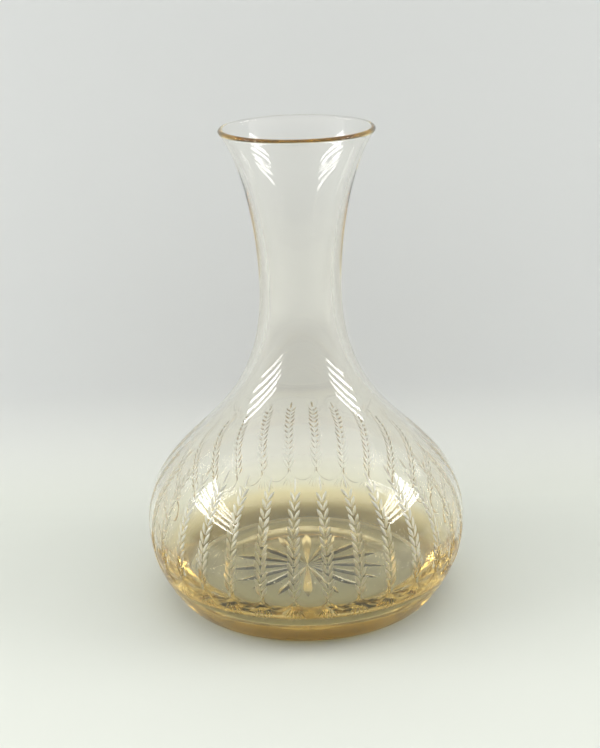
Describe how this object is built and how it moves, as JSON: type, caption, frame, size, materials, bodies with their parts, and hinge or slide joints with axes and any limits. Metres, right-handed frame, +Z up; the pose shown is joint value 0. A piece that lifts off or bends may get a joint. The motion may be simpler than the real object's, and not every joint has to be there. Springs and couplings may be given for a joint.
{
  "type": "water carafe",
  "caption": "Cut glass water carafe with a flared mouth, a waisted neck, an onion body on a heavy heel and a star-cut base, for pouring water or wine",
  "frame": {"origin": "middle of the flat ring that the carafe stands on, on the table", "axes": "+Z up the axis of the neck; the carafe is round, so +X and +Y are two free horizontal directions, with -Y towards the viewer of the picture"},
  "size_m": [0.1484, 0.1484, 0.22],
  "materials": {
    "glass": "clear blown glass with a pale straw tint, polished"
  },
  "bodies": {
    "root": {"star_cut_base": "glass", "heel": "glass", "belly": "glass", "shoulder": "glass", "neck_root": "glass", "neck": "glass", "mouth": "glass"}
  },
  "joints": []
}
